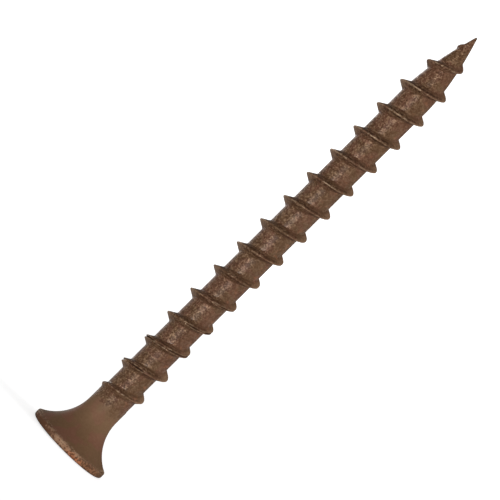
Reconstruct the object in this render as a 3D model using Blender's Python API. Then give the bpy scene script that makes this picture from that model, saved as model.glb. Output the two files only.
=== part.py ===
"""A coarse-thread drywall screw: one piece of wire, headed at one end and rolled to a point at the other.

Metres, +Z up. The screw stands on its head: the origin is the middle of the head's flat face, +Z runs along
the screw to its point, and +X runs along one wing of the cross recess.
"""

import math

import bmesh
import bpy

MM = 0.001

# Overall
LENGTH = 50.0 * MM

# Bugle head: flat face, thin rim, and a flare that is one arc running into the shank
HEAD_DIAMETER = 8.0 * MM
HEAD_EDGE_ROUND = 0.18 * MM
RIM_HEIGHT = 0.56 * MM
FLARE_HEIGHT = 3.9 * MM

# Smooth shank under the head
SHANK_DIAMETER = 3.2 * MM
SHANK_LENGTH = 1.2 * MM

# Core that carries the thread, and its point
CORE_DIAMETER = 2.87 * MM
CORE_EASE_LENGTH = 2.4 * MM
POINT_LENGTH = 7.6 * MM
POINT_FULLNESS = 1.8

# Right-hand thread
THREAD_DIAMETER = 4.25 * MM
THREAD_PITCH = 2.84 * MM
THREAD_CREST_WIDTH = 0.08 * MM
THREAD_BASE_WIDTH = 0.9 * MM
THREAD_START_ANGLE = math.radians(150.0)
THREAD_RUN_IN = 5.0 * MM
THREAD_RUN_OUT = 6.0 * MM
BARE_TIP_LENGTH = 0.7 * MM

# Cross recess for a number 2 driver
RECESS_SPAN = 5.15 * MM
RECESS_BOTTOM_SPAN = 2.3 * MM
RECESS_WALL_ANGLE = math.radians(26.5)
RECESS_FLOOR_ANGLE = math.radians(28.0)
WING_WIDTH = 1.05 * MM
WING_BOTTOM_WIDTH = 0.8 * MM
QUADRANT_ROUND = 1.1 * MM
QUADRANT_BOTTOM_ROUND = 0.45 * MM
CUTTER_STAND_OUT = 0.5 * MM
WINGS = 4

# Facets
FACETS_ROUND = 48
EDGE_STEPS = 4
FLARE_STEPS = 12
TIP_STEPS = 4
WING_END_STEPS = 3
QUADRANT_STEPS = 5
WELD_DISTANCE = 1e-7

# Brown phosphate finish
PHOSPHATE_COLOUR = (0.13, 0.075, 0.047, 1.0)
PHOSPHATE_ROUGHNESS = 0.45
PHOSPHATE_METALLIC = 0.4
SHARP_ANGLE = math.radians(32.0)

head_radius = HEAD_DIAMETER / 2
shank_radius = SHANK_DIAMETER / 2
core_radius = CORE_DIAMETER / 2
flare_end = RIM_HEIGHT + FLARE_HEIGHT
shank_end = flare_end + SHANK_LENGTH
point_start = LENGTH - POINT_LENGTH
thread_end = LENGTH - BARE_TIP_LENGTH
thread_height = (THREAD_DIAMETER - CORE_DIAMETER) / 2
flank_run = (THREAD_BASE_WIDTH - THREAD_CREST_WIDTH) / 2
recess_wall_depth = (RECESS_SPAN - RECESS_BOTTOM_SPAN) / 2 / math.tan(RECESS_WALL_ANGLE)


def eased(share):
    """Rises from 0 to 1 and arrives level."""
    share = min(max(share, 0.0), 1.0)
    return 1 - (1 - share) ** 2


def wire_radius(z):
    """Radius under the thread at a height: shank, an ease down to the core, the core, then the point."""
    if z < point_start:
        return shank_radius + (core_radius - shank_radius) * eased((z - shank_end) / CORE_EASE_LENGTH)
    return core_radius * (1 - ((z - point_start) / POINT_LENGTH) ** POINT_FULLNESS)


def ridge_height(z):
    """Height of the thread above the wire: it runs in from the shank and runs out before the tip."""
    run_in = eased((z - shank_end) / THREAD_RUN_IN)
    run_out = eased((thread_end - z) / THREAD_RUN_OUT)
    return thread_height * run_in * run_out


def facet_point(station, radius, z):
    """A point on the facet line of a station. Stations are counted round the axis from the thread's start."""
    angle = THREAD_START_ANGLE + math.tau * station / FACETS_ROUND
    return (radius * math.cos(angle), radius * math.sin(angle), z)


def ring(mesh, radius, z):
    return [mesh.verts.new(facet_point(station, radius, z)) for station in range(FACETS_ROUND)]


def join_rings(mesh, lower, upper):
    count = len(lower)
    for station in range(count):
        after = (station + 1) % count
        mesh.faces.new((lower[station], lower[after], upper[after], upper[station]))


def head_profile():
    """(radius, z) up the head, from the edge of the flat face to where the thread starts."""
    points = []
    for step in range(EDGE_STEPS + 1):
        turn = math.pi / 2 * step / EDGE_STEPS
        radius = head_radius - HEAD_EDGE_ROUND + HEAD_EDGE_ROUND * math.sin(turn)
        points.append((radius, HEAD_EDGE_ROUND - HEAD_EDGE_ROUND * math.cos(turn)))
    flare_reach = head_radius - shank_radius
    flare_radius = (FLARE_HEIGHT**2 + flare_reach**2) / (2 * flare_reach)
    flare_turn = 2 * math.atan2(flare_reach, FLARE_HEIGHT)
    for step in range(FLARE_STEPS + 1):
        turn = flare_turn * (1 - step / FLARE_STEPS)
        radius = shank_radius + flare_radius * (1 - math.cos(turn))
        points.append((radius, flare_end - flare_radius * math.sin(turn)))
    points.append((shank_radius, shank_end))
    return points


def add_head(mesh):
    rings = [ring(mesh, radius, z) for radius, z in head_profile()]
    mesh.faces.new(reversed(rings[0]))
    for lower, upper in zip(rings, rings[1:]):
        join_rings(mesh, lower, upper)


def band_row(mesh, station):
    """One section of the threaded band: foot, crest, crest and foot of the ridge, lowest first."""
    middle = shank_end + THREAD_PITCH * station / FACETS_ROUND
    half_crest = THREAD_CREST_WIDTH / 2
    half_base = half_crest + flank_run * ridge_height(middle) / thread_height
    row = []
    for offset, on_crest in ((-half_base, 0), (-half_crest, 1), (half_crest, 1), (half_base, 0)):
        z = min(max(middle + offset, shank_end), thread_end)
        radius = wire_radius(z) + on_crest * ridge_height(z)
        row.append(mesh.verts.new(facet_point(station, radius, z)))
    return row


def add_threaded_length(mesh):
    """A band one pitch wide, wound round the wire so that each turn's top edge is the next turn's bottom edge.

    It is wound past both ends of the thread and held to them there, where its height is nothing, so it
    finishes in two plain rings.
    """
    stations = math.ceil((thread_end - shank_end) / THREAD_PITCH * FACETS_ROUND)
    rows = [band_row(mesh, station) for station in range(-FACETS_ROUND, stations + 2 * FACETS_ROUND)]
    for index in range(len(rows) - FACETS_ROUND - 1):
        here = rows[index] + rows[index + FACETS_ROUND][:1]
        there = rows[index + 1] + rows[index + FACETS_ROUND + 1][:1]
        for low in range(len(here) - 1):
            mesh.faces.new((here[low], there[low], there[low + 1], here[low + 1]))


def add_tip(mesh):
    heights = [thread_end + BARE_TIP_LENGTH * step / TIP_STEPS for step in range(TIP_STEPS)]
    rings = [ring(mesh, wire_radius(z), z) for z in heights]
    for lower, upper in zip(rings, rings[1:]):
        join_rings(mesh, lower, upper)
    tip = mesh.verts.new((0.0, 0.0, LENGTH))
    for station in range(FACETS_ROUND):
        mesh.faces.new((rings[-1][station], rings[-1][(station + 1) % FACETS_ROUND], tip))


def recess_section(z):
    """Outline of the cross recess at a height: round-ended wings with a rounded quadrant between each pair."""
    share = z / recess_wall_depth
    half_span = RECESS_SPAN / 2 - z * math.tan(RECESS_WALL_ANGLE)
    half_width = (WING_WIDTH + (WING_BOTTOM_WIDTH - WING_WIDTH) * share) / 2
    quadrant = QUADRANT_ROUND + (QUADRANT_BOTTOM_ROUND - QUADRANT_ROUND) * share
    points = []
    for wing in range(WINGS):
        angle = math.tau * wing / WINGS
        local = []
        for step in range(WING_END_STEPS + 1):
            across = half_width * (2 * step / WING_END_STEPS - 1)
            local.append((math.sqrt(half_span**2 - across**2), across))
        for step in range(QUADRANT_STEPS + 1):
            turn = -math.pi / 2 * (1 + step / QUADRANT_STEPS)
            centre = half_width + quadrant
            local.append((centre + quadrant * math.cos(turn), centre + quadrant * math.sin(turn)))
        for x, y in local:
            turned_x = x * math.cos(angle) - y * math.sin(angle)
            turned_y = x * math.sin(angle) + y * math.cos(angle)
            points.append((turned_x, turned_y, z))
    return points


def recess_cutter():
    mesh = bmesh.new()
    outside = [mesh.verts.new(point) for point in recess_section(-CUTTER_STAND_OUT)]
    bottom = [mesh.verts.new(point) for point in recess_section(recess_wall_depth)]
    floor_rise = RECESS_BOTTOM_SPAN / 2 * math.tan(RECESS_FLOOR_ANGLE)
    deepest = mesh.verts.new((0.0, 0.0, recess_wall_depth + floor_rise))
    mesh.faces.new(reversed(outside))
    join_rings(mesh, outside, bottom)
    for corner in range(len(bottom)):
        mesh.faces.new((bottom[corner], bottom[(corner + 1) % len(bottom)], deepest))
    cutter = object_from("recess_cutter", mesh)
    cutter.hide_render = True
    cutter.display_type = "WIRE"
    return cutter


def object_from(name, mesh):
    bmesh.ops.remove_doubles(mesh, verts=mesh.verts, dist=WELD_DISTANCE)
    data = bpy.data.meshes.new(name)
    mesh.to_mesh(data)
    mesh.free()
    made = bpy.data.objects.new(name, data)
    bpy.context.scene.collection.objects.link(made)
    return made


def phosphated_steel():
    material = bpy.data.materials.new("phosphated_steel")
    material.use_nodes = True
    surface = material.node_tree.nodes["Principled BSDF"]
    surface.inputs["Base Color"].default_value = PHOSPHATE_COLOUR
    surface.inputs["Roughness"].default_value = PHOSPHATE_ROUGHNESS
    surface.inputs["Metallic"].default_value = PHOSPHATE_METALLIC
    return material


def drywall_screw():
    mesh = bmesh.new()
    add_head(mesh)
    add_threaded_length(mesh)
    add_tip(mesh)
    screw = object_from("drywall_screw", mesh)
    screw.data.materials.append(phosphated_steel())

    cut = screw.modifiers.new("cross_recess", "BOOLEAN")
    cut.operation = "DIFFERENCE"
    cut.solver = "EXACT"
    cut.object = recess_cutter()
    return screw


def shade(screw):
    """Takes the finished form as the object's own mesh, smooth where it is round and sharp at its edges."""
    bpy.context.view_layer.update()
    finished = screw.evaluated_get(bpy.context.evaluated_depsgraph_get())
    screw.data = bpy.data.meshes.new_from_object(finished)
    screw.modifiers.clear()
    screw.data.shade_smooth()
    screw.data.set_sharp_from_angle(angle=SHARP_ANGLE)


for leftover in list(bpy.data.objects):
    bpy.data.objects.remove(leftover)
shade(drywall_screw())
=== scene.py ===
# %% [markdown]
# # A drywall screw, dressed for a close look
# The real thing is one length of steel wire. A press forges the bugle head and punches the cross recess, two
# dies roll the coarse thread and the point, and a bath gives it a brown phosphate finish. The solid model of
# it is loaded below as a fixed frame. This file builds the same form again, finely enough to look at
# closely, and gives it that finish, a floor, light and the photograph's camera.

# %% Load the frame
import math
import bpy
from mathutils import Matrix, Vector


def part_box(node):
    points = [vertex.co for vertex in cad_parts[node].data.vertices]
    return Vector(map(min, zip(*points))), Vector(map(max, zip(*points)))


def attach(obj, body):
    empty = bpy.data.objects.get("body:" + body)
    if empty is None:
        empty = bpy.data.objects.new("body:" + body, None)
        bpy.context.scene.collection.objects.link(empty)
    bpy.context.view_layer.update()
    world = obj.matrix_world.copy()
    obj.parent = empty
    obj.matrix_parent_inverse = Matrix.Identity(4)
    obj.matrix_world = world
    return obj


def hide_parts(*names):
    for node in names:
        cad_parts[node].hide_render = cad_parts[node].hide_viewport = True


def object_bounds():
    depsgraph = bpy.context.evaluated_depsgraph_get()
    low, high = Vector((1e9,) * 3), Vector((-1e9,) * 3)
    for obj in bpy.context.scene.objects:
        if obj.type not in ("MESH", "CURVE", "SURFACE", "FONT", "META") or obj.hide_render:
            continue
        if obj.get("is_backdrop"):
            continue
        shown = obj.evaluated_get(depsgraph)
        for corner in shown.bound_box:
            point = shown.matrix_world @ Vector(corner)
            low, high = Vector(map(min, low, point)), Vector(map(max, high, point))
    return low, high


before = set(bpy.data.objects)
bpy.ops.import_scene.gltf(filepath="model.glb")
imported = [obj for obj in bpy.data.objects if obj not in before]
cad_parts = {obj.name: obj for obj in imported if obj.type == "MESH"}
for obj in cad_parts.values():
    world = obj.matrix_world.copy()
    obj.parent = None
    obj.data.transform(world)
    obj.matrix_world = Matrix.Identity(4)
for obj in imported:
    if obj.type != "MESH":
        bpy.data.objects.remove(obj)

from types import SimpleNamespace

import bmesh
import bpy
from mathutils import Matrix, Vector

NODE = "drywall_screw"
solid_low, solid_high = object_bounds()

# %% [markdown]
# ## Sizes
# The frame says how long the screw is and how wide its head is. The other sizes are those of the solid,
# because what stands for a solid has to keep its form. The screw stands on its head: z runs up from the flat
# face to the point, and the x axis runs along one wing of the recess.

# %% Sizes that the solid has
MM = 0.001

head_low, tip_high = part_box(NODE)
length = tip_high.z - head_low.z
head_radius = (tip_high.x - head_low.x) / 2

HEAD_EDGE_ROUND = 0.18 * MM
RIM_HEIGHT = 0.56 * MM
FLARE_HEIGHT = 3.9 * MM
SHANK_RADIUS = 1.6 * MM
SHANK_LENGTH = 1.2 * MM
CORE_RADIUS = 1.435 * MM
CORE_EASE_LENGTH = 2.4 * MM
POINT_LENGTH = 7.6 * MM
POINT_FULLNESS = 1.8
THREAD_RADIUS = 2.125 * MM
THREAD_PITCH = 2.84 * MM
THREAD_CREST_WIDTH = 0.08 * MM
THREAD_BASE_WIDTH = 0.9 * MM
THREAD_START_ANGLE = math.radians(150.0)
THREAD_RUN_OUT = 6.0 * MM
BARE_TIP_LENGTH = 0.7 * MM

flare_end = RIM_HEIGHT + FLARE_HEIGHT
shank_end = flare_end + SHANK_LENGTH
print(f"length {length / MM:.2f} mm, head {2 * head_radius / MM:.2f} mm, thread from {shank_end / MM:.2f} mm")

# %% [markdown]
# ## The photograph's camera
# The screw crosses the photograph from its lower left corner to its upper right one, so a camera that looks
# at a standing screw has to be rolled by almost 45 degrees. Its height and distance show in the head: the
# rim bulges a little, as it does when it is seen slightly from the point's side, and the rings of the thread
# are seen almost edge on, so the camera is 5 degrees up and about half a metre away. The camera is placed
# from a point on the screw's axis whose pixel in the photograph is known.

# %% The camera
PHOTO_SIZE = 500
SENSOR_WIDTH = 36.0
CAMERA_ELEVATION = math.radians(4.9)
CAMERA_DISTANCE = 450 * MM
PIXELS_PER_MM = 11.6
AXIS_SLOPE = math.radians(44.82)
KNOWN_HEIGHT = 25 * MM
KNOWN_PIXEL = (271.25, 243.1)
CLIP_START = 10 * MM
CLIP_END = 20.0


def photograph_camera():
    back = Vector((0, -math.cos(CAMERA_ELEVATION), math.sin(CAMERA_ELEVATION)))
    upright = Vector((0, math.sin(CAMERA_ELEVATION), math.cos(CAMERA_ELEVATION)))
    sideways = Vector((1, 0, 0))
    picture_right = math.cos(AXIS_SLOPE) * upright + math.sin(AXIS_SLOPE) * sideways
    picture_up = math.sin(AXIS_SLOPE) * upright - math.cos(AXIS_SLOPE) * sideways

    right_of_middle = (KNOWN_PIXEL[0] - PHOTO_SIZE / 2) / PIXELS_PER_MM * MM
    above_middle = (PHOTO_SIZE / 2 - KNOWN_PIXEL[1]) / PIXELS_PER_MM * MM
    known_point = Vector((0, 0, KNOWN_HEIGHT))
    aim = known_point - right_of_middle * picture_right - above_middle * picture_up

    data = bpy.data.cameras.new("photograph_camera")
    data.sensor_width = SENSOR_WIDTH
    data.lens = PIXELS_PER_MM * CAMERA_DISTANCE / MM / PHOTO_SIZE * SENSOR_WIDTH
    data.clip_start = CLIP_START
    data.clip_end = CLIP_END
    camera = bpy.data.objects.new("photograph_camera", data)
    turn = Matrix((picture_right, picture_up, back)).transposed()
    camera.matrix_world = Matrix.Translation(aim + CAMERA_DISTANCE * back) @ turn.to_4x4()
    bpy.context.scene.collection.objects.link(camera)
    return camera


bpy.context.scene.camera = photograph_camera()
bpy.context.scene.view_settings.view_transform = "Standard"
print(f"lens {bpy.context.scene.camera.data.lens:.1f} mm")

# %% [markdown]
# ## Sums that become nodes
# The thread and the finish below are both node trees, and both are mostly sums. A sum is easier to read as a
# line of Python than as a dozen linked Math nodes, so one small class wraps a socket and turns each operator
# into the node that works it out. Every other kind of node comes from a single method, which takes the
# node's type, its settings, and the values or links of its sockets.

# %% A socket that can be reckoned with, and a tree that makes nodes
class Wire:
    """One output socket of a tree. Sums of wires, or of a wire and a number, add their Math nodes."""

    def __init__(self, tree, socket):
        self.tree = tree
        self.socket = socket

    def sum(self, operation, *others):
        sockets = dict(enumerate((self, *others)))
        return self.tree.node("ShaderNodeMath", {"operation": operation}, sockets)

    def other_output(self, name):
        return Wire(self.tree, self.socket.node.outputs[name])

    def __add__(self, other):
        return self.sum("ADD", other)

    def __sub__(self, other):
        return self.sum("SUBTRACT", other)

    def __mul__(self, other):
        return self.sum("MULTIPLY", other)

    def __truediv__(self, other):
        return self.sum("DIVIDE", other)

    def __pow__(self, other):
        return self.sum("POWER", other)

    def __rsub__(self, other):
        return self.tree.constant(other).sum("SUBTRACT", self)

    __radd__ = __add__
    __rmul__ = __mul__

    def step(self, low, high):
        """0 below low, 1 above high, and a smooth rise between them."""
        sockets = {"Value": self, "From Min": low, "From Max": high}
        return self.tree.node("ShaderNodeMapRange", {"interpolation_type": "SMOOTHSTEP"}, sockets)


class Tree:
    """A node tree, for a shader or for geometry."""

    def __init__(self, owner):
        self.owner = owner

    def node(self, kind, settings=None, sockets=None, output=0):
        made = self.owner.nodes.new(kind)
        for name, value in (settings or {}).items():
            setattr(made, name, value)
        for name, value in (sockets or {}).items():
            self.feed(made.inputs[name], value)
        return Wire(self, made.outputs[output]) if made.outputs else None

    def feed(self, socket, value):
        if isinstance(value, Wire):
            self.owner.links.new(value.socket, socket)
        else:
            socket.default_value = value

    def constant(self, number):
        held = self.node("ShaderNodeValue")
        held.socket.default_value = number
        return held


# %% [markdown]
# ## The head
# The press leaves a flat face with a thin rim, and under it a flare that is one arc into the shank. That is
# a turned form, and rings stacked along a profile make it. The recess isn't turned, but every level of it
# has the same outline of four wings, so it can be rings too: each point of the outline is paired with a
# point of the circle round the head. The whole head is then one chain of rings, from the deepest point of
# the recess, up its walls, over its lip, across the face and round the rim to the shank. A Boolean cut would
# give the same hole, but with long thin triangles on the face and no rounded lip.

# %% The outline of the recess
RECESS_SPAN = 5.15 * MM
RECESS_BOTTOM_SPAN = 2.3 * MM
RECESS_WALL_ANGLE = math.radians(26.5)
RECESS_FLOOR_ANGLE = math.radians(28.0)
WING_WIDTH = 1.05 * MM
WING_BOTTOM_WIDTH = 0.8 * MM
QUADRANT_ROUND = 1.1 * MM
QUADRANT_BOTTOM_ROUND = 0.45 * MM
WINGS = 4
WING_END_STEPS = 4
WING_SIDE_STEPS = 3
HALF_QUADRANT_STEPS = 8
STATIONS = 2 * WINGS * (WING_END_STEPS + WING_SIDE_STEPS + HALF_QUADRANT_STEPS)

recess_wall_depth = (RECESS_SPAN - RECESS_BOTTOM_SPAN) / 2 / math.tan(RECESS_WALL_ANGLE)
recess_floor_rise = RECESS_BOTTOM_SPAN / 2 * math.tan(RECESS_FLOOR_ANGLE)


def half_wing(half_span, half_width, quadrant):
    """Points from the middle of a wing's end to the middle of the rounded quadrant beside it."""
    points = []
    for step in range(WING_END_STEPS):
        across = half_width * step / WING_END_STEPS
        points.append((math.sqrt(half_span**2 - across**2), across))
    corner = math.sqrt(half_span**2 - half_width**2)
    centre = half_width + quadrant
    for step in range(WING_SIDE_STEPS):
        points.append((corner + (centre - corner) * step / WING_SIDE_STEPS, half_width))
    for step in range(HALF_QUADRANT_STEPS + 1):
        turn = -math.pi / 2 - math.pi / 4 * step / HALF_QUADRANT_STEPS
        points.append((centre + quadrant * math.cos(turn), centre + quadrant * math.sin(turn)))
    return points


def cross_ring(depth, grow=0.0):
    """The recess at a depth, with a wall that stands back by grow."""
    share = depth / recess_wall_depth
    half_span = RECESS_SPAN / 2 - depth * math.tan(RECESS_WALL_ANGLE) + grow
    half_width = (WING_WIDTH + (WING_BOTTOM_WIDTH - WING_WIDTH) * share) / 2 + grow
    quadrant = QUADRANT_ROUND + (QUADRANT_BOTTOM_ROUND - QUADRANT_ROUND) * share - grow
    rising = half_wing(half_span, half_width, quadrant)
    quarter = rising + [(y, x) for x, y in reversed(rising[1:-1])]
    points = []
    for wing in range(WINGS):
        angle = math.tau * wing / WINGS
        for x, y in quarter:
            turned_x = x * math.cos(angle) - y * math.sin(angle)
            turned_y = x * math.sin(angle) + y * math.cos(angle)
            points.append(Vector((turned_x, turned_y, depth)))
    return points


print(f"recess: {STATIONS} points round, {(recess_wall_depth + recess_floor_rise) / MM:.2f} mm deep")

# %% [markdown]
# Next come the rings. A corner that was struck in a die is never sharp, so the lip of the recess and the
# edge between rim and flare are rounded by a few hundredths of a millimetre more than the solid shows.

# %% The chain of rings
LIP_ROUND = 0.05 * MM
LIP_STEPS = 3
BURR_WIDTH = 0.1 * MM
FLOOR_STEPS = 3
WALL_STEPS = 8
FACE_STEPS = 8
EDGE_STEPS = 7
RIM_STEPS = 4
RIM_CORNER = 0.07 * MM
CORNER_STEPS = 4
FLARE_STEPS = 30
SHANK_STEPS = 4


def circle(radius, height):
    turns = [math.tau * station / STATIONS for station in range(STATIONS)]
    return [Vector((radius * math.cos(turn), radius * math.sin(turn), height)) for turn in turns]


def between(ring, other, share):
    return [point.lerp(goal, share) for point, goal in zip(ring, other)]


def recess_rings():
    """From the floor's deepest point to the face, which they meet in a rounded lip."""
    bottom = cross_ring(recess_wall_depth)
    deepest = [Vector((0, 0, recess_wall_depth + recess_floor_rise))] * STATIONS
    rings = [between(deepest, bottom, step / FLOOR_STEPS) for step in range(1, FLOOR_STEPS)]
    for step in range(WALL_STEPS):
        share = 1 - step / WALL_STEPS
        rings.append(cross_ring(LIP_ROUND + (recess_wall_depth - LIP_ROUND) * share))
    for step in range(LIP_STEPS + 1):
        turn = math.pi / 2 * (1 - step / LIP_STEPS)
        rings.append(cross_ring(LIP_ROUND * (1 - math.cos(turn)), LIP_ROUND * (1 - math.sin(turn))))
    return rings


def flare_radius_and_turn():
    reach = head_radius - SHANK_RADIUS
    return (FLARE_HEIGHT**2 + reach**2) / (2 * reach), 2 * math.atan2(reach, FLARE_HEIGHT)


def flare_point(turn):
    """(radius, height) on the flare's arc, where it leans by turn."""
    radius, _ = flare_radius_and_turn()
    return SHANK_RADIUS + radius * (1 - math.cos(turn)), flare_end - radius * math.sin(turn)


def turned_profile():
    """(radius, height) from the face, round the rim, up the flare and along the shank."""
    points = []
    for step in range(EDGE_STEPS + 1):
        turn = math.pi / 2 * step / EDGE_STEPS
        radius = head_radius - HEAD_EDGE_ROUND * (1 - math.sin(turn))
        points.append((radius, HEAD_EDGE_ROUND * (1 - math.cos(turn))))
    corner_start = RIM_HEIGHT - RIM_CORNER
    for step in range(1, RIM_STEPS):
        share = step / RIM_STEPS
        points.append((head_radius, HEAD_EDGE_ROUND + (corner_start - HEAD_EDGE_ROUND) * share))
    arc_radius, full_turn = flare_radius_and_turn()
    first_turn = full_turn - RIM_CORNER / arc_radius
    bend = ((head_radius, corner_start), (head_radius, RIM_HEIGHT), flare_point(first_turn))
    for step in range(CORNER_STEPS + 1):
        share = step / CORNER_STEPS
        weights = ((1 - share) ** 2, 2 * share * (1 - share), share**2)
        rounded = [sum(weight * pull[axis] for weight, pull in zip(weights, bend)) for axis in (0, 1)]
        points.append(tuple(rounded))
    points += [flare_point(first_turn * (1 - step / FLARE_STEPS)) for step in range(1, FLARE_STEPS + 1)]
    for step in range(1, SHANK_STEPS + 1):
        points.append((SHANK_RADIUS, flare_end + SHANK_LENGTH * step / SHANK_STEPS))
    return points


def head_mesh():
    recess = recess_rings()
    profile = turned_profile()
    burr_edge = cross_ring(0.0, LIP_ROUND + BURR_WIDTH)
    face = [between(burr_edge, circle(*profile[0]), step / FACE_STEPS) for step in range(FACE_STEPS)]
    chain = recess + face + [circle(radius, height) for radius, height in profile]

    shape = bmesh.new()
    in_recess = shape.verts.layers.float.new("recess")
    on_lip = shape.verts.layers.float.new("lip")
    deepest = shape.verts.new((0, 0, recess_wall_depth + recess_floor_rise))
    deepest[in_recess] = 1.0
    rings = [[shape.verts.new(point) for point in ring] for ring in chain]
    for ring in rings[: len(recess) - 1]:
        for vertex in ring:
            vertex[in_recess] = 1.0
    for ring in rings[len(recess) - LIP_STEPS - 1 : len(recess)]:
        for vertex in ring:
            vertex[on_lip] = 1.0
    for station in range(STATIONS):
        after = (station + 1) % STATIONS
        shape.faces.new((deepest, rings[0][after], rings[0][station]))
        for inner, outer in zip(rings, rings[1:]):
            shape.faces.new((inner[station], inner[after], outer[after], outer[station]))
    data = bpy.data.meshes.new("screw")
    shape.to_mesh(data)
    shape.free()
    return data


screw = bpy.data.objects.new("screw", head_mesh())
bpy.context.scene.collection.objects.link(screw)
print(f"head: {len(screw.data.vertices)} points, open only at the top of the shank")

# %% [markdown]
# ## The rolled thread
# Two flat dies squeeze the wire between them. What they press out of the valleys flows up and meets in the
# crest, so the ridge has straight flanks, soft feet and a thin top. It starts low under the shank and grows.
# Where the dies had too little metal, on the first turns and longer on one side, the crest stays low and
# broad with a seam along it, and the whole ridge sits a hair off the wire's axis.
#
# Its shape follows a rule, so Geometry Nodes can make it. The tree takes a plain grid and winds it round the
# wire as a band one pitch wide: one way along the grid is the way round the helix, and the other way goes
# across the ridge. The top edge of each turn is the bottom edge of the next, so merging them closes the
# wall. The rows of points run along the crest, which keeps it crisp with few faces. The same tree carries
# the band on to the point, joins it to the head and gives the result its material.

# %% The tree's inputs, as the thread was rolled
THREAD_RUN_IN = 5.0 * MM
UNFILLED_DEPTH = 0.17 * MM
SEAM_DEPTH = 0.17 * MM
DIE_MISMATCH = 0.06 * MM
OFF_CENTRE = 0.06 * MM
UNEVENNESS = 0.05 * MM
POINTS_ACROSS = 29

THREAD_SIZES = {
    "Start Height": shank_end,
    "Tip Height": length,
    "Pitch": THREAD_PITCH,
    "Start Angle": THREAD_START_ANGLE,
    "Shank Radius": SHANK_RADIUS,
    "Core Radius": CORE_RADIUS,
    "Core Ease": CORE_EASE_LENGTH,
    "Point Length": POINT_LENGTH,
    "Point Fullness": POINT_FULLNESS,
    "Thread Height": THREAD_RADIUS - CORE_RADIUS,
    "Crest Width": THREAD_CREST_WIDTH,
    "Base Width": THREAD_BASE_WIDTH,
    "Run In": THREAD_RUN_IN,
    "Run Out": THREAD_RUN_OUT,
    "Bare Tip": BARE_TIP_LENGTH,
    "Unfilled Depth": UNFILLED_DEPTH,
    "Seam Depth": SEAM_DEPTH,
    "Die Mismatch": DIE_MISMATCH,
    "Off Centre": OFF_CENTRE,
    "Unevenness": UNEVENNESS,
    "Seed": 3.0,
}
THREAD_COUNTS = {"Stations": STATIONS, "Points Across": POINTS_ACROSS}


def open_thread_tree():
    """A new tree, and its inputs as wires by name."""
    group = bpy.data.node_groups.new("rolled_thread", "GeometryNodeTree")
    face = group.interface
    face.new_socket("Geometry", in_out="OUTPUT", socket_type="NodeSocketGeometry")
    face.new_socket("Head", in_out="INPUT", socket_type="NodeSocketGeometry")
    for name in THREAD_SIZES:
        face.new_socket(name, in_out="INPUT", socket_type="NodeSocketFloat")
    for name in THREAD_COUNTS:
        face.new_socket(name, in_out="INPUT", socket_type="NodeSocketInt")
    face.new_socket("Material", in_out="INPUT", socket_type="NodeSocketMaterial")
    tree = Tree(group)
    first = tree.node("NodeGroupInput")
    inputs = {socket.name: Wire(tree, socket) for socket in first.socket.node.outputs if socket.name}
    return tree, inputs


def set_inputs(modifier, values):
    """A modifier's inputs are stored under their sockets' identifiers, not under their names."""
    for item in modifier.node_group.interface.items_tree:
        if item.in_out == "INPUT" and item.name in values:
            modifier[item.identifier] = values[item.name]


print(f"thread: {THREAD_PITCH / MM:.2f} mm pitch, {(THREAD_RADIUS - CORE_RADIUS) / MM:.2f} mm high")

# %% [markdown]
# Then the rules, as sums. Each takes wires and gives wires. A height eased towards 1 arrives level, like the
# solid's own run-in. The wire under the thread has the shank's radius, then the core's, then the point's,
# which ends in a small blunt nose because no rolled point is truly sharp. Near the tip the nose is the
# smaller of the two radii, so a MINIMUM of both is the whole rule.

# %% The rule of the wire
BLUNT_RADIUS = 0.07 * MM
NOSE_SLOPE = 0.5
BLUNTING_POWER = 4


def eased(share):
    left = 1 - share.sum("MAXIMUM", 0.0).sum("MINIMUM", 1.0)
    return 1 - left * left


def wire_radius(size, height, rolled_turns):
    ease = eased(rolled_turns * size["Pitch"] / size["Core Ease"])
    straight = size["Shank Radius"] + (size["Core Radius"] - size["Shank Radius"]) * ease
    to_tip = size["Tip Height"] - height
    share = (1 - to_tip / size["Point Length"]).sum("MAXIMUM", 0.0)
    pointed = straight * (1 - share ** size["Point Fullness"]) + share**BLUNTING_POWER * BLUNT_RADIUS
    nose = to_tip * NOSE_SLOPE + (to_tip * (2 * BLUNT_RADIUS)).sum("SQRT")
    return pointed.sum("MINIMUM", nose)


# %% [markdown]
# The ridge is a crest with a straight flank on each side. A SMOOTH_MAX or SMOOTH_MIN is a corner with a
# small round in it, which is what rolled metal has at the crest and at the foot. On the early turns the
# ridge is cut off short of its full height, and a seam is pressed into what is left. On the left side that
# starts at once and ends soon, and on the right it starts two turns up and lasts longer. From a few turns up
# the flanks are also steeper on the right, so the ridge is thinner there. Its height wavers by a few
# hundredths of a millimetre, and all of it is shifted a hair to the left.

# %% The rule of the ridge
EARLY_BREADTH = 0.35
RIGHT_NARROWING = 0.45
NARROWING_START = (6.0 * MM, 11.0 * MM)
CREST_SOFTNESS = 0.05 * MM
ROOT_SOFTNESS = 0.3
SHORT_START = 2.25 * MM
SHORT_SIDE_START = 3.25 * MM
SHORT_RAMP = 2.0 * MM
UNFILLED_START = 5.0 * MM
UNFILLED_LENGTH = 18.0 * MM
UNFILLED_SIDE_LENGTH = 8.0 * MM
SEAM_WIDTH = 0.26 * MM
SEAM_PATCHES = (0.3, 0.6)
SEAM_GROWTH = (0.45, 0.75)
LOWEST_RIDGE = 0.05


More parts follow.
